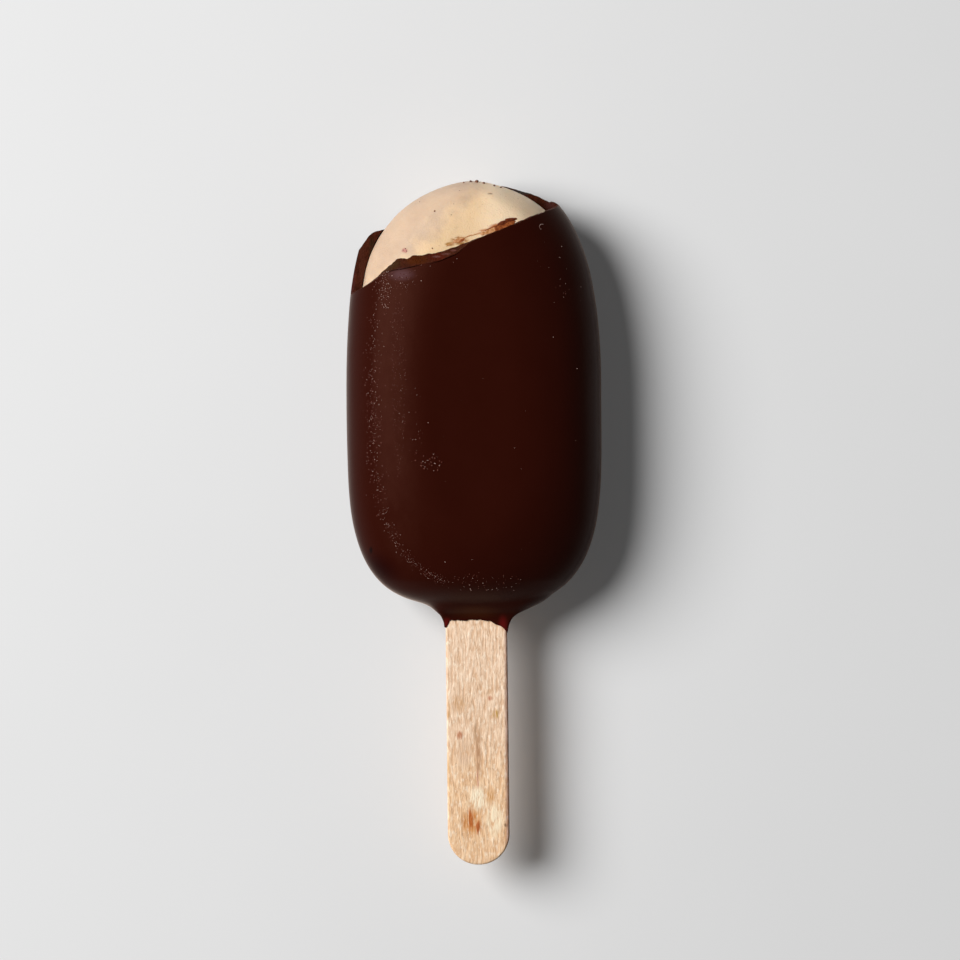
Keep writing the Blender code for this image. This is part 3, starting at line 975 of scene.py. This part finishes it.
# Where fine bubbles crowd in the glaze: centre, reach across and along, how many, and largest
BUBBLE_CROWDS = (
    ((-8.4, -9.0), (2.2, 1.9), 26, 0.24),
    ((-14.9, 8.0), (1.5, 20.0), 230, 0.13),
    ((-11.5, -2.0), (1.6, 8.0), 12, 0.18),
    ((0.5, -32.6), (9.0, 1.9), 46, 0.14),
    ((-13.8, 28.2), (3.8, 1.3), 26, 0.16),
    ((18.6, 25.2), (2.4, 1.6), 7, 0.15),
)
CREASE_LEFT = (math.radians(141), math.radians(233))
CREASE_LOW = (math.radians(232), math.radians(263))
# The line of bubbles along the crease on the left: turns it runs between, width as a share of
# the side, how many, and largest
CREASE_BUBBLES = (
    (CREASE_LEFT, 0.080, 280, 0.17),
    (CREASE_LOW, 0.042, 130, 0.13),
)
# Pale specks, in the same way: some ice crystals, the rest painted glints on the bubbles
FROST_AND_GLINT_CROWDS = (
    ((-8.4, -9.0), (2.0, 1.7), 13, 0.085),
    ((-14.9, 8.0), (1.5, 20.0), 40, 0.045),
    ((-11.5, -2.0), (1.6, 8.0), 8, 0.06),
    ((0.5, -32.8), (9.0, 1.7), 34, 0.06),
    ((-14.5, 26.8), (3.4, 2.6), 30, 0.055),
    ((-17.4, 25.0), (1.0, 4.5), 60, 0.07),
    ((16.0, 27.0), (6.0, 8.0), 9, 0.055),
    ((5.0, -8.0), (16.0, 22.0), 12, 0.05),
)
# Painted glints along the crease on the left, as pale specks, in the same way as its bubbles
CREASE_GLINTS = (
    (CREASE_LEFT, 0.065, 150, 0.07),
    (CREASE_LOW, 0.040, 100, 0.065),
)
# Single pale specks, ice crystals and painted glints on bubbles, and the range of their radius
LONE_RADIUS = (0.055, 0.09)
LONE_FROST_AND_GLINTS = (
    (-16.8, 29.0), (-16.1, 28.1), (-10.3, 30.1), (-8.5, 29.9), (-3.2, 31.3), (-3.9, 30.6),
    (-14.4, 26.6), (-12.0, 26.8), (-10.3, 27.0), (-9.1, -1.1), (-11.3, 4.4), (-11.6, -4.4),
    (-14.8, 0.8), (-17.8, 14.1), (8.0, -6.2), (17.6, 33.8), (17.2, 31.6), (20.5, 9.5),
    (21.4, 25.8), (17.9, 23.7), (15.8, 15.7), (-1.1, -33.3), (-0.8, -34.4), (-5.9, -28.7),
    (7.7, -34.5),
)
# A painted highlight near the right end of the broken edge, a crescent of pale specks where a
# small dimple in the glaze catches the light: its centre and radius, the turns of its specks, and
# their radius
GLINT_CRESCENT = ((13.7, 37.7), 0.52, np.linspace(math.radians(70), math.radians(245), 9), 0.06)

# Crumbs of coating: where they lie on the ice cream's face, and half their size
FACE_CRUMBS = (
    (-7.6, 40.9, 0.17), (-10.6, 43.0, 0.09), (-2.6, 45.0, 0.09), (-3.8, 42.3, 0.07),
    (-4.3, 40.1, 0.08), (-8.1, 33.5, 0.12), (-13.9, 33.2, 0.10), (-13.4, 33.5, 0.12),
    (-13.2, 33.0, 0.09),
)
# Crumbs at the ice cream's tip: across, height and half size
TIP_CRUMBS = (
    (-1.8, 3.4, 0.18), (-0.4, 3.0, 0.22), (0.8, 3.2, 0.33), (2.2, 3.5, 0.24), (4.3, 3.6, 0.20),
    (5.6, 3.3, 0.17),
)

# Smears of melted chocolate: centre, half length and half width, turn, and thickness
THIN_SMEARS = (
    ((-4.3, 34.3), (1.1, 0.13), 25, 0.03),
    ((-2.7, 35.0), (1.2, 0.50), 14, 0.05),
    ((-1.0, 35.8), (0.8, 0.12), 20, 0.03),
    ((0.6, 36.2), (1.1, 0.10), 15, 0.03),
    ((2.0, 36.3), (0.5, 0.32), 20, 0.05),
    ((3.9, 37.0), (1.7, 0.55), 23, 0.05),
)
RUST_SMEARS = (
    ((-2.3, 35.0), (0.7, 0.30), 20, 0.07),
    ((3.7, 37.5), (1.6, 0.11), 22, 0.05),
    ((5.6, 37.7), (1.8, 0.65), 23, 0.07),
    ((7.2, 38.4), (1.4, 0.60), 24, 0.07),
)
DARK_SMEARS = (
    ((5.1, 38.0), (1.2, 0.14), 25, 0.08),
    ((6.1, 38.5), (1.3, 0.42), 25, 0.10),
    ((7.5, 39.1), (1.3, 0.36), 8, 0.11),
)


# Where rays start that look for a surface from above and from past the tip
WELL_ABOVE = 40.0
PAST_TIP = 60.0
# Domes lie where the surface faces up by at least this, and at least this high
LEAST_UP = 0.4
LEAST_HEIGHT = 3.0
# How high a smear's outline lies over the surface, how deep its underside, and its grid's cells
SMEAR_LIFT = 0.01
SMEAR_DEPTH = 0.12
SMEAR_CELLS = 22


def surface_of(piece):
    """A tree to find places on a piece's surface."""
    bpy.context.view_layer.update()
    return BVHTree.FromObject(piece, bpy.context.evaluated_depsgraph_get())


def over(surface, x, y):
    """The highest place of a surface over this x and y, and its normal."""
    start = Vector(placed((x, y, WELL_ABOVE)))
    hit, normal, _, _ = surface.ray_cast(start, Vector((0.0, 0.0, -1.0)))
    if hit is None:
        return None, None
    return np.array(hit) / MM - MIDDLE, np.array(normal)


def ball(divisions):
    """The corners and faces of a small sphere of radius 1."""
    mesh = bmesh.new()
    bmesh.ops.create_icosphere(mesh, subdivisions=divisions, radius=1.0)
    corners = np.array([v.co[:] for v in mesh.verts])
    faces = np.array([[v.index for v in f.verts] for f in mesh.faces])
    mesh.free()
    return corners, faces


def many(name, shapes):
    """One object of many closed shapes, each given as its corners and faces."""
    points, faces, count = [], [], 0
    for corners, sides in shapes:
        points.append(corners)
        faces += (np.asarray(sides) + count).tolist()
        count += len(corners)
    return closed_object(name, points, faces)


def crease_places(rng, lines):
    """Places scattered along the crease, with a radius each."""
    places = []
    for (first, last), spread, count, largest in lines:
        turn = even_turns(COAT.edge, rng.uniform(first, last, count))
        for x, y, _ in pillow_point(COAT, 1.0 + rng.normal(0.0, spread, count), turn):
            places.append((x, y, largest * rng.uniform(0.4, 1.0)))
    return places


def crowd_places(rng, crowds):
    """Places scattered in ellipses, with a radius each."""
    places = []
    for (x, y), (across, down), count, largest in crowds:
        for _ in range(count):
            turn, reach = rng.uniform(0, 2 * math.pi), rng.uniform(0, 1) ** 0.5
            x_here, y_here = x + math.cos(turn) * reach * across, y + math.sin(turn) * reach * down
            places.append((x_here, y_here, largest * rng.uniform(0.4, 1.0)))
    return places


def domes(name, surface, places, flatness, divisions):
    """Small domes on a surface at these places, none over another."""
    corners, faces = ball(divisions)
    shapes, taken = [], []
    for x, y, radius in places:
        near = [math.hypot(x - a, y - b) < radius + r for a, b, r in taken]
        centre, normal = over(surface, x, y)
        if any(near) or centre is None or normal[2] < LEAST_UP or centre[2] < LEAST_HEIGHT:
            continue
        taken.append((x, y, radius))
        along_normal = np.outer(corners @ normal, normal)
        shapes.append((centre + (corners - along_normal * flatness) * radius, faces))
    return many(name, shapes)


def make_bubbles(surface):
    """Tiny domes where air rose through the glaze."""
    rng = np.random.default_rng(7)
    places = crowd_places(rng, BUBBLE_CROWDS) + crease_places(rng, CREASE_BUBBLES)
    return domes("glaze_bubbles", surface, places, flatness=0.35, divisions=2)


def make_frost_and_glint(surface):
    """Pale specks on the glaze, most along the crease on its left: ice crystals, and painted glints
    where bubbles, the crease and a small dimple catch the light.
    """
    rng = np.random.default_rng(12)
    places = [(x, y, rng.uniform(*LONE_RADIUS)) for x, y in LONE_FROST_AND_GLINTS]
    # the crescent of pale specks, a painted highlight
    (x, y), radius, turns, size = GLINT_CRESCENT
    places += [(x + radius * math.cos(t), y + radius * math.sin(t), size) for t in turns]
    places += crowd_places(rng, FROST_AND_GLINT_CROWDS) + crease_places(rng, CREASE_GLINTS)
    return domes("frost_and_glint_specks", surface, places, flatness=0.2, divisions=1)


def crumb(centre, size, seed):
    """A ragged crumb round this centre."""
    corners, faces = ball(3)
    swell = 1 + 0.35 * rough(corners, 0.8, seed) + 0.15 * rough(corners, 0.35, seed + 1)
    stretch = 1 + 0.3 * rough(np.eye(3), 0.4, seed + 2)
    return centre + corners * swell[:, None] * stretch * size, faces


def make_crumbs(surface):
    """Crumbs of coating left on the ice cream's face and stuck to its tip."""
    shapes = []
    for x, y, size in FACE_CRUMBS:
        centre, _ = over(surface, x, y)
        shapes.append(crumb(centre + (0, 0, size * 0.4), size, len(shapes) * 3))
    for x, height, size in TIP_CRUMBS:
        start = Vector(placed((x, PAST_TIP, height)))
        hit, _, _, _ = surface.ray_cast(start, Vector((0.0, -1.0, 0.0)))
        centre = np.array(hit) / MM - MIDDLE + (0, size * 0.4, 0)
        shapes.append(crumb(centre, size, len(shapes) * 3))
    return many("chocolate_crumbs", shapes)


def smear(surface, centre, reach, turn, thickness, seed):
    """A film of melted chocolate, thin at its wavy outline, that lies on a surface."""
    radius, angle = disc_grid(SMEAR_CELLS)
    ring = xyz(np.cos(angle), np.sin(angle), seed * 3.1)
    wave = 1 + 0.28 * rough(ring.reshape(-1, 3), 0.9, seed).reshape(angle.shape)
    wave += 0.16 * rough(ring.reshape(-1, 3), 0.35, seed + 1).reshape(angle.shape)
    x, y = radius * np.cos(angle) * reach[0] * wave, radius * np.sin(angle) * reach[1] * wave
    cosine, sine = math.cos(math.radians(turn)), math.sin(math.radians(turn))
    x, y = centre[0] + x * cosine - y * sine, centre[1] + x * sine + y * cosine
    level = np.array([over(surface, a, b)[0][2] for a, b in zip(x.ravel(), y.ravel())])
    level = level.reshape(x.shape)
    film = thickness * np.sqrt(np.clip(1 - radius**2, 0, 1))
    upper, lower = level + film + SMEAR_LIFT, level - SMEAR_DEPTH
    return closed_skin("smear", xyz(x, y, upper), xyz(x, y, lower))


def make_smears(name, surface, blots, seed):
    """Several smears as one piece."""
    parts = [smear(surface, *blot, seed + k * 5) for k, blot in enumerate(blots)]
    data = bpy.data.meshes.new(name)
    with edited(data) as mesh:
        for part in parts:
            mesh.from_mesh(part.data)
            bpy.data.objects.remove(part)
        bmesh.ops.recalc_face_normals(mesh, faces=mesh.faces)
    data.shade_smooth()
    return in_scene(name, data)


# ---- stage, light, camera


# Lengths of the stage, the light and the camera are in metres
FLOOR_HALF = 1.5
FLOOR_DROP = 0.00005
KEY_TARGET = (0.0, 0.0, 0.01)
KEY_DISTANCE = 1.6
KEY_FROM_UP = math.radians(45)
KEY_TURN = math.radians(158)
KEY_SIZE = 1.1
KEY_POWER = 39.0
ROOM_STRENGTH = 0.02
VIEW_WIDTH = 0.192
CAMERA_X = 0.0011
CAMERA_Y = -0.0125  # from the bar's own centre
CAMERA_HEIGHT = 1.1
CAMERA_TURN = math.radians(-0.34)
SENSOR_MM = 36.0


def make_floor():
    """A pale floor just below the bar."""
    made, tree = new_material("pale_floor")
    where = node(tree, "TexCoord").outputs["Object"]
    tone = blend(tree, grain(tree, where, 0.08), (0.66, 0.66, 0.66), (0.69, 0.69, 0.69))
    set_surface(tree, Base_Color=tone, Roughness=0.9, Emission_Color=WHITE, Emission_Strength=0.06)
    data = bpy.data.meshes.new("floor")
    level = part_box("chocolate_coating")[0].z - FLOOR_DROP
    sides = ((-1, -1), (1, -1), (1, 1), (-1, 1))
    corners = [(x * FLOOR_HALF, y * FLOOR_HALF, level) for x, y in sides]
    data.from_pydata(corners, [], [(0, 1, 2, 3)])
    data.materials.append(made)
    in_scene("floor", data)


def make_light():
    """A large soft light from the left and a little from the tip's side, in a dim room."""
    data = bpy.data.lights.new("key", "AREA")
    data.shape = "DISK"
    data.size = KEY_SIZE
    data.energy = KEY_POWER
    flat, height = math.sin(KEY_FROM_UP) * KEY_DISTANCE, math.cos(KEY_FROM_UP) * KEY_DISTANCE
    lamp = in_scene("key", data)
    lamp.location = (flat * math.cos(KEY_TURN), flat * math.sin(KEY_TURN), height)
    away = Vector(KEY_TARGET) - lamp.location
    lamp.rotation_euler = away.to_track_quat("-Z", "Y").to_euler()
    world = bpy.data.worlds.new("dim_room")
    world.use_nodes = True
    background = world.node_tree.nodes["Background"].inputs
    background["Color"].default_value = WHITE
    background["Strength"].default_value = ROOM_STRENGTH
    bpy.context.scene.world = world


def make_camera():
    """Straight above the bar."""
    data = bpy.data.cameras.new("camera")
    data.sensor_width = SENSOR_MM
    data.lens = SENSOR_MM * CAMERA_HEIGHT / VIEW_WIDTH
    data.clip_start = 0.01
    camera = in_scene("camera", data)
    camera.location = (CAMERA_X, MIDDLE[1] * MM + CAMERA_Y, MIDDLE[2] * MM + CAMERA_HEIGHT)
    camera.rotation_euler = (0.0, 0.0, CAMERA_TURN)
    bpy.context.scene.camera = camera
    bpy.context.scene.view_settings.view_transform = "Standard"


def main():
    """Builds the stage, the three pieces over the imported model, and what lies on them."""
    make_floor()
    make_light()
    make_camera()

    glaze, broken = glaze_material(), broken_material()
    coating = make_coating(glaze, broken)
    core = make_core(cream_material())
    wood = make_stick(wood_material())
    for piece, cad_node, finish in (
        (coating, "chocolate_coating", "dark_chocolate"),
        (core, "ice_cream", "ice_cream"),
        (wood, "wooden_stick", "birch_wood"),
    ):
        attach(piece, "root")
        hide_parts(cad_node)

    coat_surface, core_surface = surface_of(coating), surface_of(core)
    scattered = (
        make_bubbles(coat_surface),
        make_frost_and_glint(coat_surface),
        make_crumbs(core_surface),
        make_smears("thin_smears", core_surface, THIN_SMEARS, 31),
        make_smears("rust_smears", core_surface, RUST_SMEARS, 47),
        make_smears("dark_smears", core_surface, DARK_SMEARS, 61),
    )
    for piece, look in zip(scattered, FINISHES):
        piece.data.materials.append(plain_material(*look))
        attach(piece, "root")


main()
